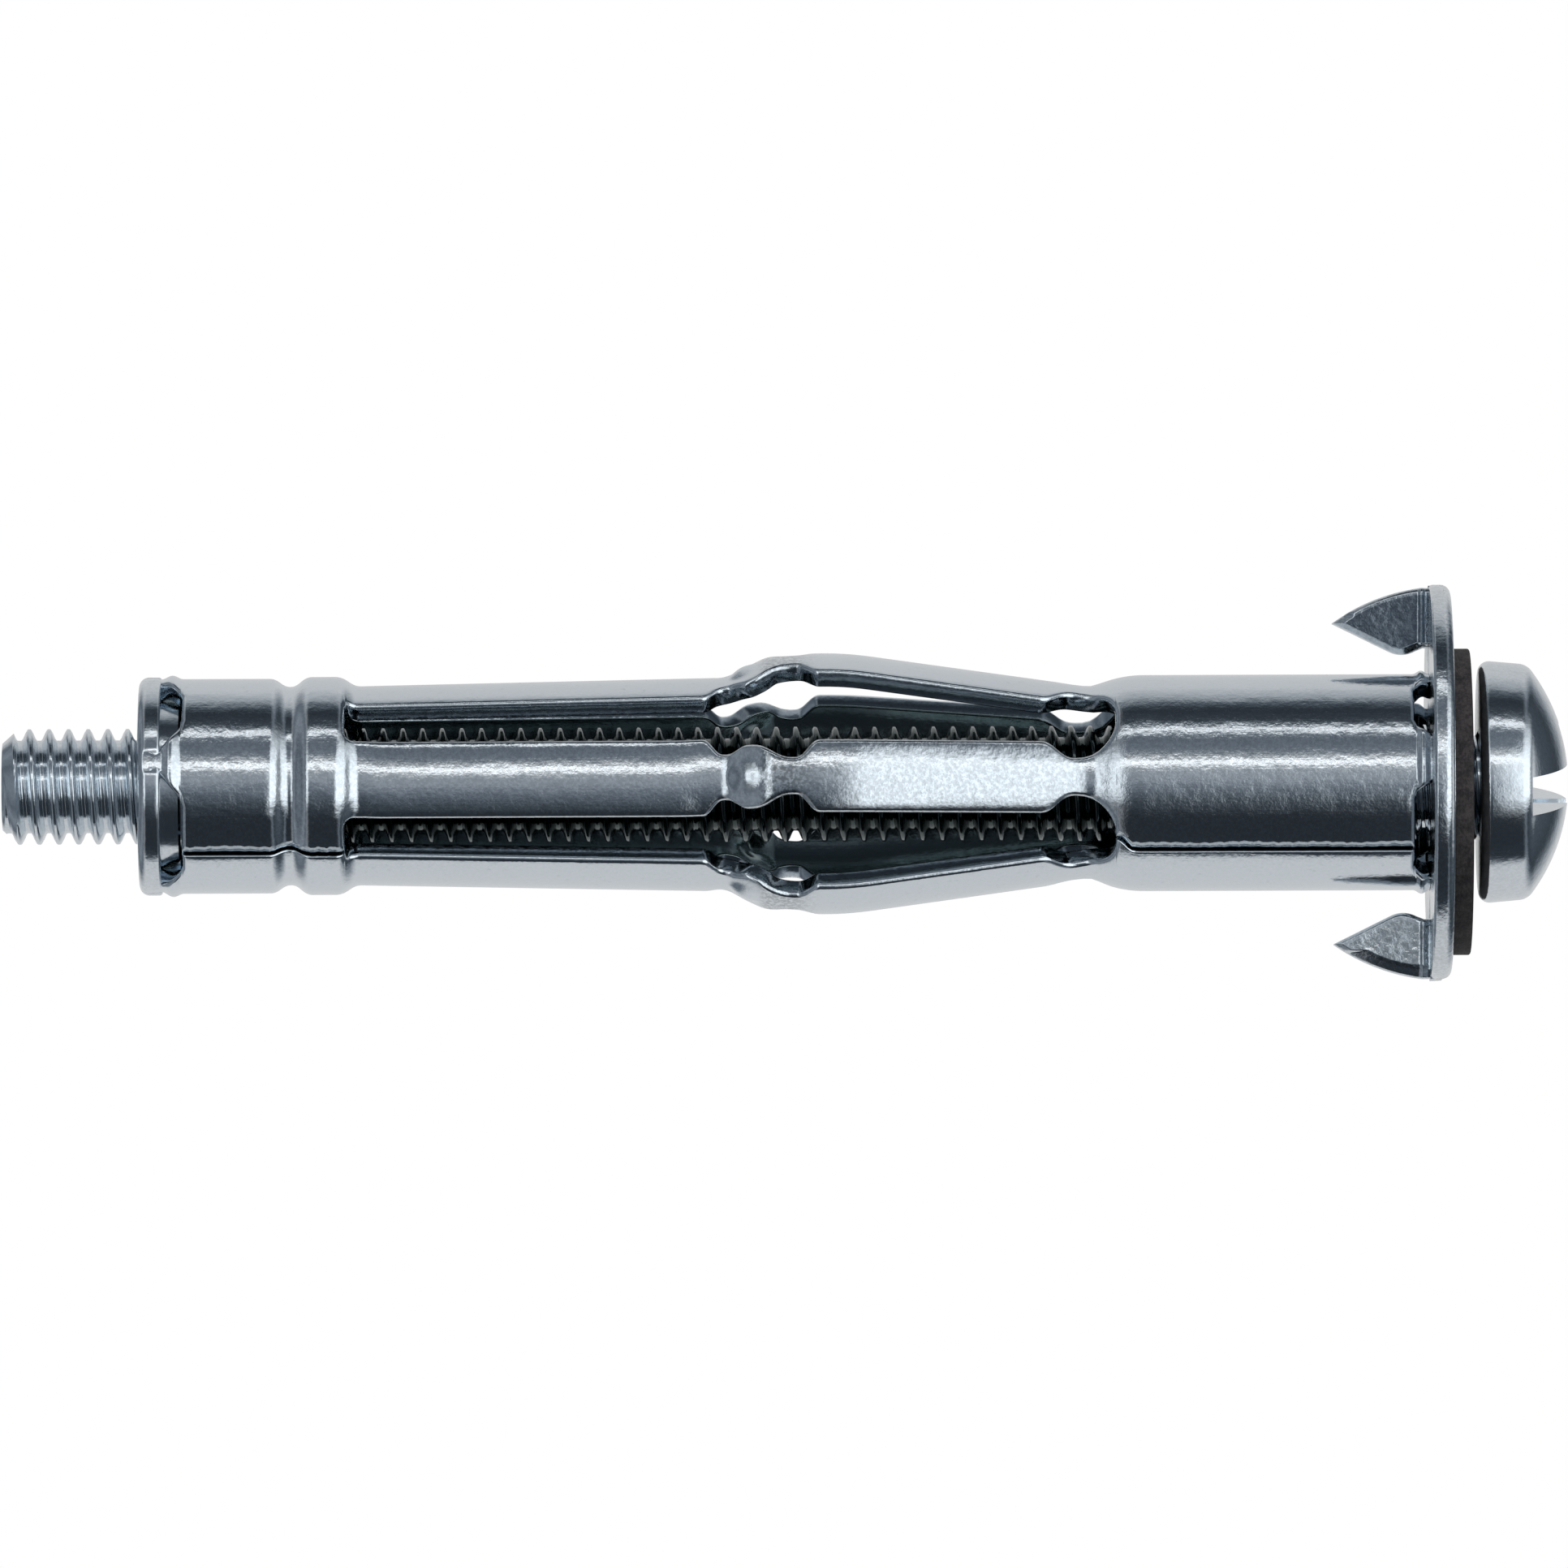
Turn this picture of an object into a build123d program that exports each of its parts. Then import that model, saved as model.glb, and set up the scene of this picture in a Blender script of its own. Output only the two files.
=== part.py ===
from build123d import *
from math import asin, atan2, cos, degrees, pi, radians, sin, sqrt, tan
import os

# Hollow wall anchor with its M6 screw, in millimetres.
# The anchor lies along X. X = 0 is the flange face that meets the wall, the screw head is at +X
# and the threaded end at -X. +Z is up. An angle round the axis is 0 towards -Y and grows towards -Z.

# Screw
thread_diameter = 5.88
screw_length = 75.1          # from the bearing face to the tip
tip_chamfer = 0.8
head_diameter = 12.3
head_height = 4.6
crown_radius = 9.5           # sphere that domes the head
crown_edge = 0.9             # rounding between the head's side and its dome
bearing_edge = 0.55          # rounding round the bearing face
slot_width = 1.95
slot_depth = 2.0
slot_turn = 7.5
cross_span = 6.8             # cross recess, at the head's top
cross_width = 1.7
cross_floor_span = 2.6       # the same two sizes at its floor
cross_floor_width = 1.2
cross_depth = 3.1

# Washer, which hangs on the screw
washer_diameter = 15.6
washer_thickness = 0.98
washer_bore = 8.0
washer_edge = 0.12
head_gap = 0.43              # from the washer to the head

# Flange with two claws folded out of its rim
flange_diameter = 20.1
flange_thickness = 1.07
flange_bore = 6.7
flange_edge = 0.5            # rounding on the washer's side
wall_edge = 0.2              # rounding on the wall's side
flange_turn = -5.0
fold_radius = 0.4            # inside radius of each claw's fold
fold_neutral = 0.4           # depth of the unstretched fibre, as a share of the thickness
claw_reach = 4.9             # from the wall face to the point
claw_root_radius = 6.95      # radius at which the claw leaves the flange
heel_reach = 1.35            # rounded inner corner of the claw
heel_radius_from_axis = 6.45
heel_rounding = 0.8
fold_run_out = 1.2           # ridge that the fold leaves in the flange below the claw
fold_ridge = 0.35
notch_clearance = 0.2        # the opening in the flange is this much larger than the claw

# Expansion sleeve, one strip of sheet rolled into a tube
sheet = 0.95
arm_count = 5
arm_turn = -4.0              # middle of the first arm
lower_rear_shift = 1.0       # the two arms behind the first stand this much closer together
upper_rear_shift = 4.0
seam_gap = 0.2
tube_diameter = 11.0
tube_length = 14.6
waist_diameter = 9.94
waist_rise = 1.8             # from the waist up to the tube
waist_length = 0.8
paddle_length = 12.1         # from the waist to the crest
crest_diameter = 13.48
crest_length = 3.5
shoulder_diameter = 13.04
knee_drop = 2.2              # from the shoulder down to the knee
knee_diameter = 10.88
shank_length = 18.8          # long straight stretch of the arms
shank_diameter = 10.13
step_length = 0.7
bead_diameter = 11.1
bead_length = 1.8
bead_side = 0.55
groove_diameter = 10.1
groove_length = 0.5
groove_side = 0.5
collar_diameter = 10.93
collar_length = 4.65
slot_overlap = 0.2           # the slots start this far inside the bead

# Widths of an arm, across its middle line
shank_width = 4.05
knee_width = 2.4
lobe_width = 3.35
shoulder_neck_width = 1.95
paddle_width = 3.8
waist_width = 2.0
knee_run = 1.2               # distances between those places, along the axis
knee_to_lobe = 1.3
lobe_to_neck = 2.2
neck_to_paddle = 1.4
paddle_to_waist = 1.9
slot_corner = 0.5
dimple_diameter = 2.3
dimple_height = 0.25
dent_diameter = 2.1
dent_depth = 0.35

# Tabs that hold the two ends of the sleeve
tab_pitch = 68.0
tab_turn = -13.5             # middle of the first tab, the last one is across the seam from it
tab_bulge = 0.18             # the tabs stand this much proud where they are squeezed
tab_fit = 0.05
window_corner = 0.4
nut_window = 1.15            # from the collar to the nut's rim
nut_tab_base = 3.9           # width at the collar
nut_tab_root = 1.36          # width at the rim
nut_tab_tip = 0.9            # width of the tip that sits in the rim's notch
nut_tab_depth = 0.8
flange_window = 0.85         # from the tube to the flange
flange_tab_base = 3.5
flange_tab_width = 2.65

# End nut
rim_diameter = 11.1
rim_thickness = 1.15
rim_edge = 0.5
nut_shoulder_fit = 0.06      # gap between the nut's shoulder and the sleeve
nut_shoulder_length = 0.65
nut_hub_step = 0.4           # the hub is this much smaller in radius than the shoulder
nut_length = 6.5             # whole nut, rim included
running_clearance = 0.05     # between the screw's thread and the nut
bore_chamfer = 0.3

# Stations along the axis, counted from the wall face
tube_end = -flange_window
tube_start = tube_end - tube_length
waist_end = tube_start - waist_rise
waist_start = waist_end - waist_length
crest = waist_start - paddle_length
shoulder = crest - crest_length
knee = shoulder - knee_drop
step_end = knee - shank_length
bead_end = step_end - step_length
bead_start = bead_end - bead_length
groove_end = bead_start - bead_side
groove_start = groove_end - groove_length
collar_end = groove_start - groove_side
collar_start = collar_end - collar_length
nut_face = collar_start - nut_window
washer_face = flange_thickness
head_face = washer_face + washer_thickness + head_gap
screw_tip = head_face - screw_length

thread_radius = thread_diameter / 2
flange_radius = flange_diameter / 2
tab_angles = [tab_turn - tab_pitch * i for i in range(arm_count)]
arm_angles = [arm_turn + 360 / arm_count * i for i in range(arm_count)]
arm_angles[arm_count // 2] += lower_rear_shift
arm_angles[arm_count // 2 + 1] -= upper_rear_shift
next_arm_angles = arm_angles[1:] + [arm_angles[0] + 360]
slots = [((a + b) / 2, b - a) for a, b in zip(arm_angles, next_arm_angles)]


def around(angle):
    """A turn about the anchor's axis."""
    return Rot(angle, 0, 0)


def turned(outline):
    """The solid that a closed outline in X and radius sweeps round the axis."""
    return revolve(Plane.XZ * make_face(outline), Axis.X)


def ring(start, end, inner_radius, outer_radius):
    """A plain ring round the axis, from one station to another."""
    corners = [(start, inner_radius), (end, inner_radius), (end, outer_radius), (start, outer_radius)]
    return turned(Polyline(*corners, close=True))


def facing(outline, start_radius, end_radius):
    """A prism that stands on the axis towards -Y, with this outline in X and across."""
    base = Plane.XZ.offset(start_radius) * make_face(outline)
    return extrude(base, amount=end_radius - start_radius)


def moved_inwards(points, distance):
    """The points of the line that runs this distance below a line of (X, radius) points."""
    slopes = [atan2(b[1] - a[1], b[0] - a[0]) for a, b in zip(points, points[1:])]
    before, after = [slopes[0]] + slopes, slopes + [slopes[-1]]
    moved = []
    for (x, r), s, t in zip(points, before, after):
        middle, miter = (s + t) / 2, distance / cos((t - s) / 2)
        moved.append((x + miter * sin(middle), r - miter * cos(middle)))
    return moved


def sleeve_wall():
    """The rolled sheet before its slots and windows are cut: its section, swept round the axis."""
    # X, radius and corner radius of the outer face, from the nut to the washer's side of the flange
    line = [
        (nut_face - nut_tab_depth, tube_diameter / 2, 0),
        (nut_face, tube_diameter / 2, 0),
        (nut_face + nut_window / 2, tube_diameter / 2 + tab_bulge, 0.3),
        (collar_start, collar_diameter / 2, 0.3),
        (collar_end, collar_diameter / 2, 0.4),
        (groove_start, groove_diameter / 2, 0.3),
        (groove_end, groove_diameter / 2, 0.3),
        (bead_start, bead_diameter / 2, 0.6),
        (bead_end, bead_diameter / 2, 0.6),
        (step_end, shank_diameter / 2, 0.5),
        (knee, knee_diameter / 2, 1.5),
        (shoulder, shoulder_diameter / 2, 1.5),
        (crest, crest_diameter / 2, 8),
        (waist_start, waist_diameter / 2, 3),
        (waist_end, waist_diameter / 2, 1.5),
        (tube_start, tube_diameter / 2, 2),
        (tube_end, tube_diameter / 2, 0),
        (tube_end / 2, tube_diameter / 2 + tab_bulge, 0.3),
        (0, tube_diameter / 2, 0),
        (flange_thickness, tube_diameter / 2, 0),
    ]
    outer_points = [(x, r) for x, r, corner in line]
    inner_points = moved_inwards(outer_points, sheet)
    outer = FilletPolyline(*outer_points, radius=[corner for x, r, corner in line[1:-1]])
    inner = Polyline(*inner_points)
    ends = [Line(outer @ 0, inner @ 0), Line(outer @ 1, inner @ 1)]
    return turned([outer, inner, *ends])


def slot_rise(pitch, arm_width, diameter):
    """Half the gap between two arms of this width, for each millimetre of height above the axis."""
    return tan(radians(pitch / 2) - asin(arm_width / diameter))


def slot_side(height, pitch):
    """One side of a slot's outline at this height above the axis: the curves from end to end."""
    start = step_end - step_length - slot_overlap
    neck = knee + knee_to_lobe + lobe_to_neck
    waist = (waist_start + waist_end) / 2
    bulb = waist_diameter / 2 * sin(radians(pitch / 2) - asin(waist_width / waist_diameter))
    stations = [
        (start, shank_width, shank_diameter),
        (knee - knee_run, shank_width, knee_diameter),
        (knee, knee_width, knee_diameter),
        (knee + knee_to_lobe, lobe_width, (knee_diameter + shoulder_diameter) / 2),
        (neck, shoulder_neck_width, shoulder_diameter),
        (neck + neck_to_paddle, paddle_width, crest_diameter),
        (waist - paddle_to_waist, paddle_width, waist_diameter + 1),
        (waist, waist_width, waist_diameter),
    ]
    points = [(x, height * slot_rise(pitch, w, d)) for x, w, d in stations]
    (x, half), (end, end_half) = points[0], points[-1]
    rounded = (x + slot_corner, half)
    curves = [Line((x, 0), (x, 0.6 * half)), Bezier((x, 0.6 * half), (x, half), rounded)]
    curves += [Line(rounded, points[1])]
    for i in (1, 2, 3, 4, 6):
        (x, half), (other, other_half) = points[i], points[i + 1]
        curves += [Bezier((x, half), ((x + other) / 2, half), ((x + other) / 2, other_half), points[i + 1])]
    curves += [Line(points[5], points[6])]
    curves += [Bezier(points[-1], (end + 0.55 * bulb, end_half), (end + bulb, 0.55 * end_half), (end + bulb, 0))]
    return curves


def slot_cutter(pitch):
    """The gap between two arms this far apart: radial walls, a round end in the waist, pinched arms."""
    faces = []
    for height in (waist_diameter / 2 - 2 * sheet, crest_diameter / 2 + sheet):
        side = slot_side(height, pitch)
        other = [mirror(curve, about=Plane.XZ) for curve in side]
        faces += [Plane.XZ.offset(height) * make_face(side + other)]
    return loft(faces, ruled=True)


def dimple_frame():
    """The plane of the outer face in the middle of an arm's lobe."""
    slope = atan2(shoulder_diameter - knee_diameter, 2 * knee_drop)
    radius = knee_diameter / 2 + knee_to_lobe * tan(slope)
    return Plane(origin=(knee + knee_to_lobe, -radius, 0), z_dir=(-sin(slope), -cos(slope), 0))


def dimple():
    """The bump pressed out of an arm: the cap of a sphere, rooted in the sheet."""
    radius = (dimple_diameter**2 / 4 + dimple_height**2) / (2 * dimple_height)
    ball = Pos(0, 0, dimple_height - radius) * Sphere(radius)
    depth = dimple_height + sheet / 2
    return dimple_frame() * (ball & Pos(0, 0, dimple_height - depth / 2) * Cylinder(dimple_diameter / 2, depth))


def dent():
    """The mark that the punch leaves inside the arm, behind the dimple."""
    radius = (dent_diameter**2 / 4 + dent_depth**2) / (2 * dent_depth)
    return dimple_frame() * Pos(0, 0, dent_depth - sheet - radius) * Sphere(radius)


def nut_tab():
    """What stays of the sheet between the collar and the nut, at one tab."""
    side = [
        (nut_face - nut_tab_depth, nut_tab_tip / 2),
        (nut_face, nut_tab_tip / 2),
        (nut_face, nut_tab_root / 2),
        (collar_start, nut_tab_base / 2),
        (collar_start, nut_tab_base / 2 + 2 * window_corner),
        (collar_start + sheet, nut_tab_base / 2 + 2 * window_corner),
    ]
    corners = [0, 0, 0, window_corner, 0, 0]
    return tab_prism(side, corners)


def flange_tab():
    """What stays of the sheet between the tube and the washer's side of the flange, at one tab."""
    side = [
        (flange_thickness, flange_tab_width / 2),
        (0, flange_tab_width / 2),
        (tube_end, flange_tab_base / 2),
        (tube_end, flange_tab_base / 2 + 2 * window_corner),
        (tube_end - sheet, flange_tab_base / 2 + 2 * window_corner),
    ]
    corners = [0, 0, window_corner / 2, 0, 0]
    return tab_prism(side, corners)


def tab_prism(side, corners):
    """A prism through the sleeve's wall, from one side of its outline."""
    other = [(x, -y) for x, y in reversed(side)]
    outline = FilletPolyline(*side, *other, radius=corners + corners[::-1], close=True)
    return facing(outline, tube_diameter / 2 - 2 * sheet, tube_diameter / 2 + sheet)


def windows(start, end, tab):
    """All of the wall between two stations that isn't a tab."""
    wall = ring(start, end, tube_diameter / 2 - 2 * sheet, tube_diameter / 2 + sheet)
    for angle in tab_angles:
        wall -= around(angle) * tab
    return wall


def expansion_sleeve():
    """The sleeve: collar, bead, five pinched and dimpled arms, and plain tube, with tabs at both ends."""
    body = sleeve_wall()
    bump, mark = dimple(), dent()
    for angle, pitch in slots:
        body -= around(angle) * slot_cutter(pitch)
    for angle in arm_angles:
        body += around(angle) * bump
        body -= around(angle) * mark
    body -= windows(nut_face - 2 * nut_tab_depth, collar_start, nut_tab())
    body -= windows(tube_end, 2 * flange_thickness, flange_tab())
    length = flange_thickness - nut_face + 4 * nut_tab_depth
    seam = Pos((flange_thickness + nut_face) / 2, -tube_diameter / 2, 0) * Box(length, 3 * sheet, seam_gap)
    return body - around(slots[0][0]) * seam


def end_nut():
    """The nut: a rim with a notch for each tab, and a threaded hub inside the collar."""
    bore = thread_radius + running_clearance
    shoulder_radius = collar_diameter / 2 - sheet - nut_shoulder_fit
    hub_radius = shoulder_radius - nut_hub_step
    outside, inside = nut_face - rim_thickness, nut_face - rim_thickness + nut_length
    corners = [
        (outside, bore + bore_chamfer, 0),
        (outside, rim_diameter / 2, rim_edge),
        (nut_face, rim_diameter / 2, rim_edge / 4),
        (nut_face, shoulder_radius, 0),
        (nut_face + nut_shoulder_length, shoulder_radius, rim_edge / 4),
        (nut_face + nut_shoulder_length, hub_radius, 0),
        (inside, hub_radius, rim_edge / 4),
        (inside, bore + bore_chamfer, 0),
        (inside - bore_chamfer, bore, 0),
        (outside + bore_chamfer, bore, 0),
    ]
    points = [(x, r) for x, r, corner in corners]
    body = turned(FilletPolyline(*points, radius=[corner for x, r, corner in corners], close=True))
    depth = nut_tab_depth + tab_fit
    floor = tube_diameter / 2 - sheet - tab_fit
    notch = Box(2 * depth, tube_diameter, nut_tab_tip + 2 * tab_fit)
    notch = Pos(nut_face, -floor - tube_diameter / 2, 0) * notch
    for angle in tab_angles:
        body -= around(angle) * notch
    return body


def rim_height(reach):
    """How far from the flange's middle line the old rim is, this far along a folded claw."""
    return sqrt(flange_radius**2 - flat_length(reach) ** 2)


def flat_length(reach):
    """Length in the flat flange of a folded claw of this reach."""
    fold = (fold_radius + fold_neutral * flange_thickness) * pi / 2
    return fold + reach - fold_radius


def claw():
    """The upper claw: a point of the flange folded towards the wall along a radial line."""
    back = fold_radius + flange_thickness
    far = -claw_reach - 1
    section = make_face([
        CenterArc((-fold_radius, 0), back, 0, 90),
        Line((-fold_radius, back), (far, back)),
        Line((far, back), (far, fold_radius)),
        Line((far, fold_radius), (-fold_radius, fold_radius)),
        CenterArc((-fold_radius, 0), fold_radius, 0, 90),
        Line((0, 0), (flange_thickness, 0)),
    ])
    folded = extrude(Plane.XY * section, amount=flange_diameter)
    middle = (claw_reach + fold_radius) / 2
    tip = (-claw_reach, rim_height(claw_reach))
    shoulder_point = (-fold_radius, rim_height(fold_radius))
    lower = FilletPolyline(
        tip,
        (-heel_reach, heel_radius_from_axis),
        (-fold_ridge, claw_root_radius),
        (flange_diameter, claw_root_radius),
        radius=[heel_rounding, 0],
    )
    upper = Polyline(
        shoulder_point,
        (0, flange_radius),
        (flange_thickness - flange_edge, flange_radius),
        (flange_thickness, flange_radius - flange_edge),
        (flange_diameter, flange_radius - flange_edge),
        (flange_diameter, claw_root_radius),
    )
    rim = ThreePointArc(shoulder_point, (-middle, rim_height(middle)), tip)
    folded &= extrude(Plane.XZ * make_face([lower, rim, upper]), amount=2 * back, both=True)
    inset = flange_thickness / 20
    ridge = Box(fold_ridge + flange_thickness / 2, flange_thickness - 2 * inset, 2 * fold_run_out)
    centre = Pos(flange_thickness / 4 - fold_ridge / 2, fold_radius + flange_thickness / 2, claw_root_radius)
    return folded + centre * ridge


def claw_notch():
    """The opening that the folded claw leaves in the flange, wider than the flat claw all round."""
    heel = (flat_length(heel_reach), heel_radius_from_axis - notch_clearance)
    point = (flat_length(claw_reach), rim_height(claw_reach) - notch_clearance)
    beyond = (2 * point[0] - heel[0], 2 * point[1] - heel[1])
    corners = [
        (0, claw_root_radius - 2 * notch_clearance),
        heel,
        beyond,
        (beyond[0], flange_diameter),
        (0, flange_diameter),
    ]
    outline = FilletPolyline(*corners, radius=[0, heel_rounding, 0, 0, 0], close=True)
    return extrude(Plane.YZ * make_face(outline), amount=3 * flange_thickness, both=True)


def claw_flange():
    """The flange: a disc with a bore for the screw, slots for the tabs and two folded claws."""
    corners = [
        (0, flange_bore / 2, 0),
        (flange_thickness, flange_bore / 2, 0),
        (flange_thickness, flange_radius, flange_edge),
        (0, flange_radius, wall_edge),
    ]
    points = [(x, r) for x, r, corner in corners]
    disc = turned(FilletPolyline(*points, radius=[corner for x, r, corner in corners], close=True))
    notch, point = claw_notch(), claw()
    disc -= notch
    disc -= mirror(notch, about=Plane.XY)
    disc += point
    disc += mirror(point, about=Plane.XY)
    disc = around(flange_turn) * disc
    half = flange_tab_width / 2 + tab_fit
    outline = [(-1, -half), (2 * flange_thickness, -half), (2 * flange_thickness, half), (-1, half)]
    inner, outer = tube_diameter / 2 - sheet - tab_fit, tube_diameter / 2 + tab_fit
    opening = facing(Polyline(*outline, close=True), inner / 2, outer * 2)
    opening &= ring(-1, 2 * flange_thickness, inner, outer)
    for angle in tab_angles:
        disc -= around(angle) * opening
    return disc


def fibre_washer():
    """The washer, hanging on the screw's thread."""
    inner, outer = washer_bore / 2, washer_diameter / 2
    start, end = washer_face, washer_face + washer_thickness
    corners = [(start, inner), (end, inner), (end, outer), (start, outer)]
    body = turned(FilletPolyline(*corners, radius=washer_edge, close=True))
    hang = inner - thread_radius - running_clearance
    return Pos(0, 0, -hang) * body


def cross_wing():
    """One of the two tapered grooves of the cross recess."""
    top = head_face + head_height
    mouth = Plane.YZ.offset(top) * Rectangle(cross_span, cross_width)
    floor = Plane.YZ.offset(top - cross_depth) * Rectangle(cross_floor_span, cross_floor_width)
    return loft([mouth, floor], ruled=True)


def machine_screw():
    """The screw: domed head with a slot and a cross recess, and a shank of the thread's size."""
    head_radius = head_diameter / 2
    top = head_face + head_height
    side_end = top - crown_radius + sqrt(crown_radius**2 - head_radius**2)
    outline = make_face([
        Polyline(
            (top, 0),
            (screw_tip, 0),
            (screw_tip, thread_radius - tip_chamfer),
            (screw_tip + tip_chamfer, thread_radius),
            (head_face, thread_radius),
            (head_face, head_radius),
            (side_end, head_radius),
        ),
        RadiusArc((side_end, head_radius), (top, 0), crown_radius),
    ])
    rim = outline.vertices().sort_by(Axis.Y)[-2:].sort_by(Axis.X)
    outline = fillet(rim[1], crown_edge)
    rim = outline.vertices().filter_by(lambda v: abs(v.X - head_face) < 1e-6).sort_by(Axis.Y)
    outline = fillet(rim[-1], bearing_edge)
    body = revolve(Plane.XZ * outline, Axis.X)
    slot = Pos(top - slot_depth / 2, 0, 0) * Box(slot_depth, 2 * head_diameter, slot_width)
    body -= around(slot_turn) * slot
    wing = cross_wing()
    for angle in (slot_turn, slot_turn + 90):
        body -= around(angle) * wing
    return body


parts = {
    "expansion_sleeve": expansion_sleeve(),
    "end_nut": end_nut(),
    "claw_flange": claw_flange(),
    "fibre_washer": fibre_washer(),
    "machine_screw": machine_screw(),
}

os.makedirs("parts", exist_ok=True)
for name, solid in parts.items():
    export_step(solid, f"parts/{name}.step")
    print(name, len(solid.solids()), "solid", round(solid.volume, 2), "mm3")
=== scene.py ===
# %% [markdown]
# # A hollow wall anchor in bright zinc
# The anchor is a strip of steel sheet, slotted and rolled into a sleeve, with a nut caught in one end
# and a clawed flange caught on the other. A slotted machine screw runs through it. The solid model gives
# every size and how the screw moves, and this file dresses it: most pieces are surfaces worked out with
# numpy, the washer and the flange's disc are copies of the solid, and the finishes come from shader nodes.
# The solid model is loaded first, because it is the ruler.

# %% Load the solid model
from math import asin, cos, degrees, pi, radians, sin, sqrt, tan

import bmesh
import bpy
import numpy as np
from mathutils import Matrix, Vector


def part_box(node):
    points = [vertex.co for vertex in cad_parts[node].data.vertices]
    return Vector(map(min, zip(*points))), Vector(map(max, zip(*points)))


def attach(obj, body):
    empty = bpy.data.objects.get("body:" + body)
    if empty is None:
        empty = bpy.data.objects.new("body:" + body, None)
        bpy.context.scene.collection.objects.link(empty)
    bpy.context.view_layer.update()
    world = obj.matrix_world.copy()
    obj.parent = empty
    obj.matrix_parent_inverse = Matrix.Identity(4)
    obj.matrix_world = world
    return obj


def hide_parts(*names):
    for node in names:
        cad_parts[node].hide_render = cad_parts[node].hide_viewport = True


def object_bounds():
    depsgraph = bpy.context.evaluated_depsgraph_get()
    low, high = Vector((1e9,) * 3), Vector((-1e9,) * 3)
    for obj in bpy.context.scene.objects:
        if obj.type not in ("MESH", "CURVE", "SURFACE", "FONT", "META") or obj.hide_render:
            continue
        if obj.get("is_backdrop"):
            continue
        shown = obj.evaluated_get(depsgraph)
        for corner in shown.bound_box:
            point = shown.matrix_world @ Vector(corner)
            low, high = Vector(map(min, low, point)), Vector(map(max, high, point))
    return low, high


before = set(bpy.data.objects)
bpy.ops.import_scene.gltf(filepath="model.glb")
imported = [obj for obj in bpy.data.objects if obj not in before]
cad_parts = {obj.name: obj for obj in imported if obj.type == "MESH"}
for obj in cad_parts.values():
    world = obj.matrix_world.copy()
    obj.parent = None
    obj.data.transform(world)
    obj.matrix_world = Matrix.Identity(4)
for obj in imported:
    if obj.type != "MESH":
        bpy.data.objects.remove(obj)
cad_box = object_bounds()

MM = 0.001
scene = bpy.context.scene


def span(node):
    """The lowest and highest corner of a node of the solid model, in millimetres."""
    low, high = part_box(node)
    return np.array(low) / MM, np.array(high) / MM


sleeve_low, sleeve_high = span("expansion_sleeve")
nut_low, nut_high = span("end_nut")
washer_high = span("fibre_washer")[1]
screw_low = span("machine_screw")[0]
print("sleeve from", sleeve_low.round(2), "to", sleeve_high.round(2))

# %% [markdown]
# ## Surfaces from formulas
# A piece of sheet or a turned part is a net of points: rows along it and columns round it. Numpy works
# out all the points at once, and the mesh joins each point to its neighbours with four-sided faces.
# Faces can be left out of the net, which is how the slots of the sleeve stay open. The pieces could be
# modelled by hand too, but a formula keeps each size in one place and its curves even.

# %% A net of points becomes a mesh


def mesh_object(name, points, faces, materials=None):
    """Object from points in millimetres and four-sided faces, each with the number of its material."""
    used, faces = np.unique(faces, return_inverse=True)
    mesh = bpy.data.meshes.new(name)
    mesh.from_pydata(points.reshape(-1, 3)[used] * MM, [], faces.reshape(-1, 4).tolist())
    if materials is not None:
        mesh.polygons.foreach_set("material_index", materials)
    obj = bpy.data.objects.new(name, mesh)
    scene.collection.objects.link(obj)
    return obj


def faces_of(rows, columns, keep=None, ring=False):
    """Corner numbers of the faces of a net: a face joins the points (i, j), (i, j + 1), (i + 1, j + 1)
    and (i + 1, j) wherever keep is true, and ring closes the columns."""
    index = np.arange(rows * columns).reshape(rows, columns)
    if ring:
        index = np.hstack([index, index[:, :1]])
    corners = np.stack([index[:-1, :-1], index[:-1, 1:], index[1:, 1:], index[1:, :-1]], axis=-1)
    return corners[keep] if keep is not None else corners.reshape(-1, 4)


def net(name, points, keep=None, ring=False):
    """Object from points of shape (rows, columns, 3), in millimetres."""
    return mesh_object(name, points, faces_of(*points.shape[:2], keep, ring))


def open_edges(faces):
    """The edges (a, b) that belong to one face only, in that face's direction."""
    a, b = faces.ravel(), np.roll(faces, -1, axis=1).ravel()
    many = faces.max() + 1
    alone = np.isin(a * many + b, b * many + a, invert=True)
    return a[alone], b[alone]


def edge_distance(points, starts, ends, reach=0.5):
    """Distance from each point of a net to the nearest of some line pieces, row by row: the length left
    when the part along the piece is taken away. Pieces further than reach along X are passed over."""
    far = np.full(points.shape[:2], reach)
    low, high = np.minimum(starts[:, 0], ends[:, 0]), np.maximum(starts[:, 0], ends[:, 0])
    for row, place in enumerate(points):
        near = (low < place[0, 0] + reach) & (high > place[0, 0] - reach)
        if near.any():
            piece = (ends - starts)[near]
            offset = place[:, None] - starts[near]
            share = np.clip((offset * piece).sum(-1) / np.maximum((piece**2).sum(-1), 1e-12), 0, 1)
            far[row] = np.minimum(np.linalg.norm(offset - share[..., None] * piece, axis=-1).min(1), reach)
    return far


def rounding(depth, radius):
    """How far a rounded edge lies below the surface at this depth from the edge: r minus the root of
    r squared less (r - depth) squared."""
    short = np.clip(radius - depth, 0, radius)
    return radius - np.sqrt(radius**2 - short**2)


def welded(obj, distance=0.002):
    """Points nearer than this many millimetres become one, faces without area go, faces turn outwards."""
    work = bmesh.new()
    work.from_mesh(obj.data)
    bmesh.ops.remove_doubles(work, verts=work.verts, dist=distance * MM)
    bmesh.ops.dissolve_degenerate(work, dist=1e-8, edges=work.edges)
    bmesh.ops.recalc_face_normals(work, faces=work.faces)
    work.to_mesh(obj.data)
    work.free()
    return obj


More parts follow.
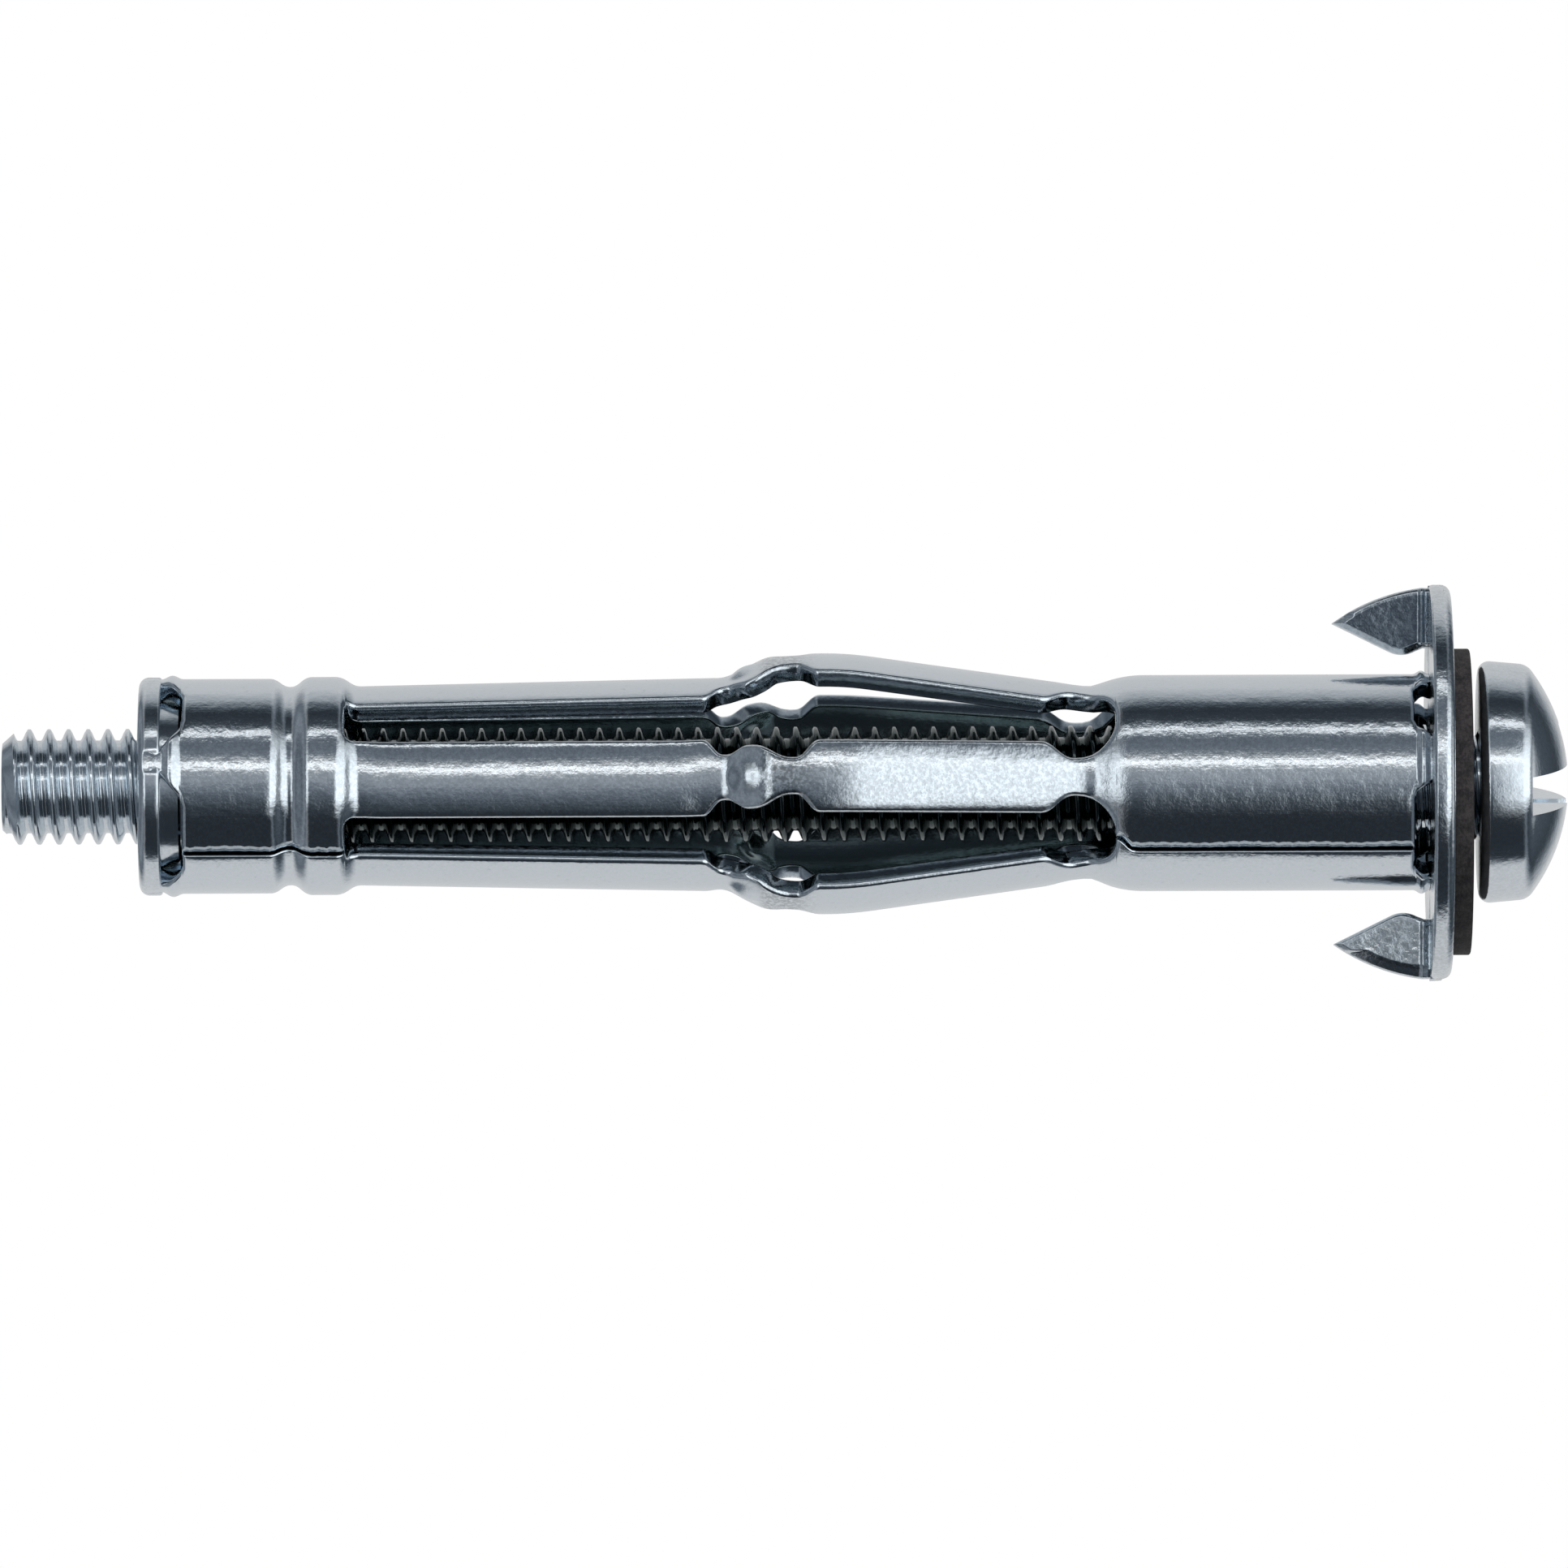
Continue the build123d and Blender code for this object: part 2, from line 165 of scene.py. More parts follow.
def smooth(obj, sharp=40):
    """Shades a mesh smooth, apart from edges that turn by more than this many degrees."""
    obj.data.shade_smooth()
    obj.data.set_sharp_from_angle(angle=radians(sharp))
    return obj


def modify(obj, kind, **settings):
    """Adds a modifier with these settings."""
    modifier = obj.modifiers.new(kind.title(), kind)
    for key, value in settings.items():
        setattr(modifier, key, value)
    return modifier


def on_axis(x, radius, angle):
    """Points at x along the axis, this far from it, at an angle in degrees that is 0 at -Y and
    grows towards -Z: the point is (x, -radius cos angle, -radius sin angle)."""
    x, radius, angle = np.broadcast_arrays(x, radius, np.radians(angle))
    return np.stack([x, -radius * np.cos(angle), -radius * np.sin(angle)], axis=-1)


def ease(t):
    """A step from 0 to 1 with level ends: 6 t^5 - 15 t^4 + 10 t^3."""
    t = np.clip(t, 0, 1)
    return t**3 * (t * (6 * t - 15) + 10)


print("helpers ready")

# %% [markdown]
# ## Shader maths as Python
# A material is a graph of nodes. Writing it as sums keeps it readable: a number in the graph is wrapped
# in a small class whose operators add the Math nodes, so `0.2 + 0.1 * noise` builds two of them.

# %% Numbers and nodes of a shader


class Number:
    """An output socket that holds a number. Arithmetic on it adds Math nodes."""

    def __init__(self, graph, socket):
        self.graph, self.socket = graph, socket

    def maths(self, operation, *values):
        return self.graph.number("ShaderNodeMath", {"operation": operation}, dict(enumerate(values)))

    def __abs__(self):
        return self.maths("ABSOLUTE", self)

    def __add__(self, other):
        return self.maths("ADD", self, other)

    def __sub__(self, other):
        return self.maths("SUBTRACT", self, other)

    def __rsub__(self, other):
        return self.maths("SUBTRACT", other, self)

    def __mul__(self, other):
        return self.maths("MULTIPLY", self, other)

    def __truediv__(self, other):
        return self.maths("DIVIDE", self, other)

    def __pow__(self, other):
        return self.maths("POWER", self, other)

    __radd__, __rmul__ = __add__, __mul__

    def smaller(self, other):
        return self.maths("MINIMUM", self, other)

    def larger(self, other):
        return self.maths("MAXIMUM", self, other)

    def between(self, low, high):
        """0 below low, 1 above high, and a smooth step from one to the other."""
        return self.graph.number(
            "ShaderNodeMapRange", {"interpolation_type": "SMOOTHSTEP"},
            {"Value": self, "From Min": low, "From Max": high},
        )

    def within(self, rise, fall):
        """1 between two smooth steps: one up over the pair of places rise, and one down over fall."""
        return self.between(*rise) * (1.0 - self.between(*fall))


class Graph:
    """The nodes of one material or of the world."""

    def __init__(self, owner):
        owner.use_nodes = True
        self.tree = owner.node_tree
        self.tree.nodes.clear()

    def node(self, kind, settings=None, sockets=None):
        """Adds a node, sets its settings, and then sets or links its sockets."""
        node = self.tree.nodes.new(kind)
        settings = dict(settings or {})
        stops = settings.pop("stops", None)
        for key, value in settings.items():
            setattr(node, key, value)
        if stops:
            ramp = node.color_ramp.elements
            while len(ramp) < len(stops):
                ramp.new(0.5)
            for element, (place, colour) in zip(ramp, stops):
                element.position = place
            for element, (place, colour) in zip(ramp, stops):
                element.color = (*np.broadcast_to(colour, 3), 1)
        for key, value in (sockets or {}).items():
            socket = node.inputs[key]
            value = value.socket if isinstance(value, Number) else value
            if isinstance(value, bpy.types.NodeSocket):
                self.tree.links.new(value, socket)
            else:
                socket.default_value = value
        return node

    def number(self, kind, settings=None, sockets=None, output=0):
        return Number(self, self.node(kind, settings, sockets).outputs[output])

    def output(self, kind, settings=None, sockets=None, output=0):
        return self.node(kind, settings, sockets).outputs[output]

    def components(self, vector):
        """The three components of a vector as numbers."""
        parts = self.node("ShaderNodeSeparateXYZ", None, {0: vector})
        return [Number(self, output) for output in parts.outputs]

    def noise(self, place, per_mm, detail=2.0, rough=0.5):
        """Noise with this many lumps to a millimetre."""
        return self.number(
            "ShaderNodeTexNoise", {"noise_dimensions": "3D"},
            {"Vector": place, "Scale": per_mm / MM, "Detail": detail, "Roughness": rough},
        )

    def blend(self, share, first, second):
        """Two colours mixed by a number."""
        mix = self.node("ShaderNodeMix", {"data_type": "RGBA"}, {0: share})
        for socket, colour in ((mix.inputs[6], first), (mix.inputs[7], second)):
            if isinstance(colour, bpy.types.NodeSocket):
                self.tree.links.new(colour, socket)
            else:
                socket.default_value = (*colour, 1)
        return mix.outputs[2]


print("shader helpers ready")

# %% [markdown]
# ## Camera, floor and light
# A long lens a metre away shows the anchor from the side, level with its axis, almost without
# perspective. The anchor is made to sit in a wall, so it hangs above a small pale floor. The studio is a
# sky of light grey above, below and behind, and dark on the camera's side, with two long narrow strips of
# light, a soft box to the right and a smaller one to the left. Bright zinc is a mirror, and this is what
# draws its bands. The sky could be an image wrapped round the scene, but with formulas of the direction
# each band can be moved by itself.

# %% Camera

view_width = 79.83
view_centre = (-32.85, 0.02)
camera_distance, camera_roll = 1100.0, 0.20

camera = bpy.data.objects.new("camera", bpy.data.cameras.new("camera"))
scene.collection.objects.link(camera)
camera.data.sensor_width = 36.0
camera.data.lens = camera.data.sensor_width * camera_distance / view_width
camera.data.clip_start, camera.data.clip_end = 0.05, 10
camera.location = Vector((view_centre[0], -camera_distance, view_centre[1])) * MM
camera.rotation_euler = (radians(90), radians(camera_roll), 0)
scene.camera = camera
print("lens", round(camera.data.lens, 1), "mm")

# %% Sky

world = bpy.data.worlds.new("studio")
scene.world = world
sky = Graph(world)
ray = sky.node("ShaderNodeLightPath")
direction = sky.output("ShaderNodeTexCoord", output=0)
along, away, up = sky.components(direction)
round_axis = up.maths("ARCTAN2", up, away * -1.0) / (2 * pi) + 0.5

# Brightness in the directions that a cylinder along X mirrors: 0 degrees is back at the camera,
# 90 straight up, -90 straight down, 180 away from the camera.
bands = [(-180, 0.68), (-140, 0.64), (-88, 0.64), (-84, 0.30), (-81, 0.04), (-62, 0.03), (-35, 0.03),
         (-20, 0.06), (-8, 0.14), (0, 0.24), (4, 0.32), (14, 0.34), (19, 0.60), (20.5, 1.6), (24, 1.6),
         (25.5, 0.60), (33, 0.20), (50, 0.14), (55, 0.28), (57.5, 1.3), (60.5, 1.3), (62.5, 0.22),
         (68, 0.06), (86, 0.03), (95, 0.10), (105, 0.40), (122, 0.60), (180, 0.64)]


def shade(value):
    """A grey that turns to steel blue as it gets darker."""
    blue = 1 - min(value / 0.5, 1)
    return (value * (1 - 0.20 * blue), value, value * (1 + 0.24 * blue))


stops = [((angle + 180) / 360, shade(value)) for angle, value in bands]
sides = sky.output("ShaderNodeValToRGB", {"stops": stops}, {0: round_axis})

# Brightness towards the two ends, by the share of the direction that is along X: -1 to 1.
ends = [(-1.0, 0.22), (-0.92, 0.13), (-0.78, 0.26), (-0.62, 0.14), (-0.40, 0.45), (0.2, 0.3), (0.52, 0.20),
        (0.66, 0.05), (0.90, 0.09), (0.96, 0.40), (1.0, 0.70)]
stops = [((share + 1) / 2, shade(value)) for share, value in ends]
towards_ends = sky.output("ShaderNodeValToRGB", {"stops": stops}, {0: along * 0.5 + 0.5})
end_share = abs(along).between(0.25, 0.62)
mirrored = sky.blend(end_share, sides, towards_ends)

# A soft box stands to the right of the camera, taller towards its far end, and a smaller and dimmer one
# to its left. Each is a share along X times a range of angles round X.
box_light = (1.28, 1.33, 1.36)
angle_round = round_axis * 360.0 - 180.0
box_top = (along * 240.0 - 14.0).smaller(along * 110.0 + 24.0).larger(26.0)
right_box = along.within((0.0, 0.34), (0.82, 0.95)) * angle_round.within((-37, -13), (14, box_top))
left_box = along.within((-0.66, -0.52), (-0.42, -0.28)) * angle_round.within((-30, -4), (14, 52))
mirrored = sky.blend(right_box + left_box * 0.8, mirrored, box_light)
in_mirror = sky.output("ShaderNodeBackground", None, {"Color": mirrored, "Strength": 1.0})
white = sky.output("ShaderNodeBackground", None, {"Color": (1, 1, 1, 1), "Strength": 1.0})
shown = sky.output("ShaderNodeMixShader", None, {0: ray.outputs["Is Camera Ray"], 1: in_mirror, 2: white})
sky.node("ShaderNodeOutputWorld", None, {0: shown})
scene.view_settings.view_transform = "Standard"
print("sky with", len(bands), "bands")

# %% Lamps


def lamp(name, place, aim, size, watts):
    """A rectangular lamp at a place in millimetres, aimed at another."""
    data = bpy.data.lights.new(name, "AREA")
    data.shape, data.size, data.size_y, data.energy = "RECTANGLE", size[0] * MM, size[1] * MM, watts
    obj = bpy.data.objects.new(name, data)
    obj.location = Vector(place) * MM
    obj.rotation_euler = (Vector(aim) * MM - obj.location).to_track_quat("-Z", "Y").to_euler()
    obj.visible_glossy = False
    scene.collection.objects.link(obj)
    print(name, watts, "W")
    return obj


middle = (view_centre[0], 0, 0)
lamp("key_lamp", (60, -320, 420), middle, (300, 200), 2.2)
lamp("fill_lamp", (-220, -380, -60), middle, (300, 300), 0.9)

# %% Floor

floor_drop, floor_radius, floor_back = 45.0, 95.0, 10.0
rings = np.linspace(0, floor_radius, 12)[:, None]
spokes = np.linspace(0, 2 * pi, 65)[None, :-1]
disc = np.stack(np.broadcast_arrays(
    view_centre[0] + rings * np.cos(spokes), floor_back + rings * np.sin(spokes), -floor_drop), axis=-1)
floor = welded(net("floor", disc, ring=True))
floor.data.materials.append(bpy.data.materials.new("pale_floor"))
pale = Graph(floor.data.materials[0])
place = pale.node("ShaderNodeTexCoord").outputs["Object"]
centred = pale.output("ShaderNodeMapping", None, {0: place, 1: (-view_centre[0] * MM, -floor_back * MM, 0)})
level = pale.output("ShaderNodeVectorMath", {"operation": "MULTIPLY"}, {0: centred, 1: (1, 1, 0)})
from_middle = pale.number("ShaderNodeVectorMath", {"operation": "LENGTH"}, {0: level}, output=1)
fade = from_middle.between(floor_radius * 0.45 * MM, floor_radius * 0.98 * MM)
grain = 0.80 + pale.noise(place, 0.6) * 0.04
paint = pale.output("ShaderNodeCombineColor", None, {0: grain, 1: grain, 2: grain})
matt = pale.output("ShaderNodeBsdfDiffuse", None, {"Color": paint})
clear = pale.output("ShaderNodeBsdfTransparent")
shown = pale.output("ShaderNodeMixShader", None, {0: fade, 1: matt, 2: clear})
pale.node("ShaderNodeOutputMaterial", None, {0: shown})
floor.visible_glossy = False
floor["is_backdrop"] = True
print("floor", floor_drop, "mm below the axis")

# %% [markdown]
# ## Bright zinc
# Zinc plate on pressed sheet is a soft mirror with a blue cast. Under it the steel is slightly wavy from
# rolling, the plate itself is finely speckled, and die lines run along the strip. The waves bend the
# mirror image, so most of the look comes from bump, and a little from colour and roughness. An image
# could be wrapped round each piece, but noise has no seam and keeps its size on every piece.

# %% Zinc


def zinc(name, tint=(0.76, 0.82, 0.87), stain=(0.46, 0.52, 0.56), rough=0.10, wave=1.0, speck=1.0,
         lines=1.0, stained=0.25, grainy=0.10, shaded=None):
    """Plated steel. wave, speck and lines scale the three kinds of relief, stained is how much of the
    surface has the darker tone, and grainy how strong its grains are, as a number or as a function of the
    graph and the place. shaded is such a function too: it gives a share and a colour for what lies in
    the dark."""
    material = bpy.data.materials.new(name)
    graph = Graph(material)
    place = graph.node("ShaderNodeTexCoord").outputs["Object"]
    drawn = graph.output("ShaderNodeMapping", None, {0: place, 3: (0.05, 1, 1)})
    swell = graph.noise(place, 0.9, 2)
    cloud = graph.noise(place, 2.6, 3, 0.6)
    grains = graph.noise(place, 5.0, 2, 0.55)
    fine = graph.noise(place, 9.0, 3, 0.65)
    streak = graph.noise(drawn, 7.0, 2)
    flecks = graph.noise(place, 16.0, 1).between(0.58, 0.72)
    dark = (cloud * 0.6 + fine * 0.4).between(0.62 - 0.25 * stained, 0.72 - 0.1 * stained) * stained
    strength = grainy(graph, place) if callable(grainy) else grainy
    mottled = (grains * 0.65 + fine * 0.35).between(0.60, 0.42) * strength
    colour = graph.blend(dark, tint, stain)
    colour = graph.blend(mottled, colour, tuple(0.35 * channel for channel in tint))
    if shaded:
        share, shadow = shaded(graph, place)
        colour = graph.blend(share, colour, shadow)
    height = swell * (1.0 * wave) + cloud * (0.35 * wave) + grains * (0.16 * speck) + fine * (0.09 * speck)
    height = height + streak * (0.14 * lines)
    bump = graph.output("ShaderNodeBump", None, {"Strength": 1.0, "Distance": 0.022 * MM, "Height": height})
    shader = graph.node("ShaderNodeBsdfPrincipled", None, {
        "Base Color": colour, "Metallic": 1.0, "Normal": bump,
        "Roughness": rough + cloud * 0.08 + flecks * (0.06 * speck) - 0.04})
    graph.node("ShaderNodeOutputMaterial", None, {0: shader.outputs[0]})
    print(name, "roughness about", rough)
    return material


def mm(*places):
    """Places in millimetres, in the metres that Object coordinates have."""
    return [place * MM for place in places]


# Stretches along X: the pair of places over which each starts, and the pair over which it ends.
# in_the_dark is the stretch where the thread's colour carries painted shade.
in_the_dark = mm(-58.5, -57.0), mm(-16.5, -14.5)
stretched_most = mm(-34.0, -30.0), mm(-21.0, -14.0)
bent_most = mm(-34.3, -33.7), mm(-32.9, -30.8)


def painted_shade_in_the_sleeve(graph, place):
    """Painted shade: the thread turns almost black where the sleeve's arms cover it, crests a hair less."""
    x, y, z = graph.components(place)
    radius = (y * y + z * z) ** 0.5
    share = x.within(*in_the_dark) * (1.0 - radius.between(*mm(2.90, 2.935)) * 0.05) * 0.98
    return share, (0.035, 0.052, 0.052)


def worn_front(graph, place):
    """The strip is grainy where the dies stretched it, near the level of the axis, and dull where
    its arms are bent most."""
    x, y, z = graph.components(place)
    level = 1.0 - abs(z).between(*mm(2.2, 4.6))
    grain_here = 0.20 + x.within(*stretched_most) * 0.16
    return level * grain_here + x.within(*bent_most) * 0.55 + 0.03


sleeve_zinc = zinc("zinc_on_rolled_strip", speck=1.6, grainy=worn_front)
# The inside of the sleeve is the same zinc, its tint darkened to a third: painted shade.
inner_painted_shade_zinc = zinc("zinc_inside_the_sleeve_painted_shade", tint=(0.24, 0.30, 0.31), stain=(0.12, 0.15, 0.15), rough=0.14)
# The cut faces are the same glossy zinc with a darker tint: painted shade.
cut_face_painted_shade_zinc = zinc("zinc_on_cut_faces_painted_shade", tint=(0.50, 0.57, 0.63), stain=(0.20, 0.25, 0.29), rough=0.11, lines=0.4,
                stained=0.5)
nut_zinc = zinc("zinc_on_turned_nut", rough=0.13, stained=0.4)
flange_zinc = zinc("zinc_on_pressed_flange", rough=0.12, wave=1.6, stained=0.45, speck=1.8, grainy=0.22)
# The upper claw's face is the claws' zinc with its tint darkened by half: painted shade.
upper_claw_painted_shade_zinc = zinc("zinc_on_upper_claw_painted_shade", tint=(0.36, 0.42, 0.48), stain=(0.20, 0.24, 0.29), rough=0.12,
                       wave=1.6, speck=1.6, stained=0.6, grainy=0.4)
lower_claw_zinc = zinc("zinc_on_lower_claw", tint=(0.68, 0.74, 0.78), stain=(0.22, 0.26, 0.31), rough=0.10,
                       wave=3.2, speck=2.0, stained=0.5, grainy=0.5)
# The thread's zinc is darkened with painted shade where the sleeve covers it.
screw_zinc = zinc("zinc_on_rolled_thread", rough=0.12, wave=0.8, speck=1.3, lines=0.2, stained=0.3,
                  shaded=painted_shade_in_the_sleeve)

# %% [markdown]
# ## Vulcanised fibre
# The washer is punched from pressed fibre board: almost black, faintly brown, matt, with layers that
# show as lines on its punched edge. Plain black would look like rubber, so one noise draws the short
# hairs, and another one, squeezed along X, draws the layers.

# %% Fibre


def fibre(name):
    """Dark pressed fibre with short hairs and layers along X."""
    material = bpy.data.materials.new(name)
    graph = Graph(material)
    place = graph.node("ShaderNodeTexCoord").outputs["Object"]
    layered = graph.output("ShaderNodeMapping", None, {0: place, 3: (6, 1, 1)})
    hairs = graph.noise(place, 7.0, 4, 0.7)
    layers = graph.noise(layered, 1.6, 2)
    fuzz = graph.noise(place, 1.4, 3)
    colour = graph.blend((hairs * 0.6 + fuzz * 0.4).between(0.38, 0.66), (0.008, 0.007, 0.008),
                         (0.042, 0.036, 0.036))
    bump = graph.output("ShaderNodeBump", None, {
        "Strength": 1.0, "Distance": 0.05 * MM, "Height": hairs * 0.6 + layers})
    shader = graph.node("ShaderNodeBsdfPrincipled", None, {
        "Base Color": colour, "Metallic": 0.0, "Normal": bump, "Roughness": 0.62 + hairs * 0.25})
    graph.node("ShaderNodeOutputMaterial", None, {0: shader.outputs[0]})
    return material


washer_fibre = fibre("pressed_fibre")
print("finishes ready")

# %% [markdown]
# ## The sleeve
# The sleeve is one strip of sheet, pierced with five slots and rolled up, so its two long edges meet at
# a seam under the front arm. The slots leave five arms. Each arm runs straight, narrows to a knee,
# widens again round a pressed dimple, bulges out as a long paddle, narrows to a waist, and joins the
# plain tube. It could be cut out of a tube with Booleans, but a net that follows the arms keeps every
# face four-sided, so reflections run clean along the edges. Columns of the net belong either to an arm
# or to a gap, and the faces of the gaps are left out where the sheet is pierced.

# %% Sizes of the sleeve, in millimetres

sheet = 0.95
wall_face = 0.0
tongue_tip, flange_face = sleeve_low[0], sleeve_high[0]
rim_width = 1.15
rim_face = nut_low[0] + rim_width
tube_radius = 5.5
seam_angle, seam_gap = 32.0, 0.2
collar_seam_shift, tube_seam_shift, seam_lip = 7.5, 6.5, 1.3
arm_angles = np.array([68.0, 141.0, 208.0, 284.0, 356.0])
tab_angles = np.array([74.5, 142.5, 210.5, 278.5, 346.5])

# The profile, from the wall face towards the nut: length of a stretch, radius at its end, rounding there.
stretches = [
    (0.85, 5.5, 0.0), (14.6, 5.5, 0.90), (1.8, 4.93, 0.22), (0.8, 5.03, 0.20), (12.1, 6.74, 1.7),
    (3.5, 6.52, 0.42), (2.2, 5.44, 0.42), (18.8, 5.065, 0.28), (0.7, 5.55, 0.34), (1.8, 5.55, 0.30),
    (0.55, 5.05, 0.24), (0.5, 5.05, 0.24), (0.55, 5.465, 0.26), (4.65, 5.465, 0.0),
]
ends_at = -np.cumsum([0.0] + [length for length, _, _ in stretches])
(tube_end, tube_start, waist_end, waist_start, crest, shoulder, knee, step_end, bead_end, bead_start,
 groove_end, groove_start, collar_end, collar_start) = ends_at[1:]


def profile(x):
    """Radius of the sleeve at x. The outline is a chain of straight stretches: each corner adds its
    change of slope times a ramp, whose foot is a parabola over the corner's rounding."""
    corners = ends_at[1:-1]
    radii = np.array([tube_radius] + [radius for _, radius, _ in stretches])
    slopes = np.diff(radii) / np.diff(ends_at)
    radius = radii[0] + slopes[0] * (x - ends_at[0])
    for corner, before, after, (_, _, rounding) in zip(corners, slopes, slopes[1:], stretches):
        past = corner - x
        foot = max(rounding, 1e-6)
        ramp = np.where(past > foot, past, (np.clip(past + foot, 0, None)) ** 2 / (4 * foot))
        radius = radius - (after - before) * ramp
    return radius


print("bead radius", profile(np.array([(bead_end + bead_start) / 2])).round(3))

# %% Width of an arm along its length

# Places along the arm and its width there, from the nut's end.
arm_widths = [(bead_end + 0.2, 4.05), (knee - 1.2, 4.05), (knee, 2.4), (knee + 1.3, 3.35),
              (knee + 3.5, 1.95), (knee + 4.9, 3.8), (waist_start - 1.9, 3.8), (waist_start, 2.0)]
slot_start, slot_corner = arm_widths[0][0], 0.5
slot_round_start, slot_round_radius = arm_widths[-1][0], 2.05
slot_stop = slot_round_start + slot_round_radius * sin(radians(84))


def arm_half_angle(x):
    """Half the angle of an arm at x: level stretches joined by eased steps, as an arc sine of
    half the width over the radius."""
    width = np.full_like(x, arm_widths[0][1])
    for (a, before), (b, after) in zip(arm_widths, arm_widths[1:]):
        width = width + (after - before) * ease((x - a) / (b - a))
    depth = np.clip(slot_corner - (x - slot_start), 0, slot_corner)
    corner = slot_corner - np.sqrt(slot_corner**2 - depth**2)
    return np.degrees(np.arcsin(width / 2 / profile(x)) + corner / profile(x))


def slot_half_angle(x, pitch):
    """Half the angle of the slot between two arms: what the arms leave, closed by a round end
    whose half-width is a quarter circle."""
    reach = np.clip((x - slot_round_start) / slot_round_radius, 0, 1)
    return (pitch / 2 - arm_half_angle(np.minimum(x, slot_round_start))) * np.sqrt(1 - reach**2)


print("arm half-angle in the paddle", arm_half_angle(np.array([crest + 5.0])).round(1))

# %% Rows and columns of the net


def rows_between(start, end, step):
    """Evenly spaced places from start to just before end."""
    return np.linspace(start, end, max(2, int(round((end - start) / step)) + 1))[:-1]


edge_round, burr_round = 0.24, 0.08
steps = 1 - np.cos(np.radians([0, 22.5, 45, 67.5, 90]))
corner_rows = slot_start + slot_corner * (1 - np.cos(np.radians([0, 25, 45, 62, 76, 90])))
round_turns = np.radians([0, 12, 24, 35, 45, 54, 62, 69, 75, 80])
round_rows = slot_round_start + slot_round_radius * np.sin(round_turns)
x = np.concatenate([
    rows_between(tongue_tip, rim_face, 0.2), rows_between(rim_face, collar_start, 0.08),
    collar_start + edge_round * steps, rows_between(collar_start + 0.4, collar_end - 0.2, 0.25),
    rows_between(collar_end - 0.2, slot_start - edge_round, 0.09), slot_start - edge_round * steps[::-1],
    corner_rows, rows_between(slot_start + slot_corner + 0.04, slot_start + 1.2, 0.08),
    rows_between(slot_start + 1.2, knee - 1.25, 0.6),
    rows_between(knee - 1.25, knee + 5.0, 0.09), rows_between(knee + 5.0, waist_start - 1.9, 0.4),
    rows_between(waist_start - 1.9, waist_start, 0.12), round_rows, slot_stop + edge_round * steps,
    rows_between(slot_stop + 0.4, slot_stop + 1, 0.2),
    rows_between(slot_stop + 1, tube_end - edge_round, 0.25),
    tube_end - edge_round * steps[::-1], rows_between(tube_end, wall_face, 0.08),
    rows_between(wall_face, flange_face, 0.3), [flange_face]])
x = np.unique(x.round(4))
x = x[np.append(True, np.diff(x) > 0.01)]
tongue_rows, tab_rows = x < collar_start - 1e-6, x > tube_end + 1e-6
arm_rows = (x > slot_start - 1e-6) & (x < slot_stop + 1e-6)

# Half-widths of the tongues that hold the nut and of the tabs that hold the flange, by place.
window_corner = 0.4


def filleted(depth):
    """How far a rounded inner corner still widens a tab at this depth from the tab's foot."""
    short = np.clip(window_corner - depth, 0, window_corner)
    return window_corner - np.sqrt(window_corner**2 - short**2)


tongue_depth = np.clip(collar_start - x, 0, None)
tongue = np.interp(tongue_depth, [0, 1.15, 1.16, 1.95], [1.95, 0.68, 0.5, 0.5])
tongue = tongue + filleted(tongue_depth)
tab_depth = np.clip(x - tube_end, 0, None)
tab = np.interp(tab_depth, [0, 0.85, 1.92], [1.75, 1.325, 1.325]) + filleted(tab_depth)
print(len(x), "rows")

# %% The net and its angles

across_arm, across_gap = 13, 6
pitches = np.diff(np.append(arm_angles, arm_angles[0] + 360))
left_share = ease((x - collar_start) / (slot_start - collar_start))
right_share = ease((x - slot_stop) / (tube_end - slot_stop))
outline = profile(x)


def edge_angles(side_pitch):
    """Angle from an arm's middle to its edge on the side of this slot, row by row. It passes smoothly
    from the tongue at the collar's end to the arm, and from the arm to the tab at the tube's end."""
    inside = side_pitch / 2 - slot_half_angle(np.clip(x, slot_start, slot_stop), side_pitch)
    tongue_angle = np.degrees(tongue / tube_radius)
    tab_angle = np.degrees(tab / tube_radius)
    angle = tongue_angle + (inside - tongue_angle) * left_share
    return angle + (tab_angle - angle) * right_share


def band(half):
    """Angles, inwards from an edge, of the columns that draw its rounding: the rounding's width grows
    with the slope of the edge, and never takes more than a third of the arm."""
    lean = np.gradient(np.radians(half) * outline, x)
    width = np.degrees(edge_round * np.sqrt(1 + lean**2) / outline)
    return np.minimum(width, half / 3)[:, None] * steps


centres = [tab_angle + (arm - tab_angle) * left_share * (1 - right_share)
           for arm, tab_angle in zip(arm_angles, tab_angles)]
low_halves = [edge_angles(p) for p in np.roll(pitches, 1)]
high_halves = [edge_angles(p) for p in pitches]
ragged = 0.03 * np.sin(9.1 * x) + 0.02 * np.sin(23.7 * x + 1.3) + 0.012 * np.sin(51.3 * x + 0.4)

# On the tube and the collar the seam lies a little lower than the middle of its slot.
seam_half = np.degrees(seam_gap / 2 / tube_radius) * np.ones_like(x)
seam_shift = np.interp(x, [slot_start, slot_stop], [collar_seam_shift, 0.0])
seam_shift = seam_shift + tube_seam_shift * ease((x - slot_stop) / 1.0)
seam_round, chamfer = 0.10, 0.40 + 1.6 * ragged * (x > collar_start) * (x < tube_end)
seam_start, seam_end = seam_angle + seam_shift + seam_half, seam_angle + seam_shift + 360 - seam_half

blocks, owners = [], []


def add(block, owner):
    """One more block of columns, with the number of the arm that it belongs to, or -1 for a gap."""
    blocks.append(block)
    owners.extend([owner] * block.shape[1])


def fill(start, end, count):
    """This many evenly spaced columns between two edges, leaving both out."""
    return start[:, None] + (end - start)[:, None] * np.linspace(0, 1, count + 2)[1:-1]


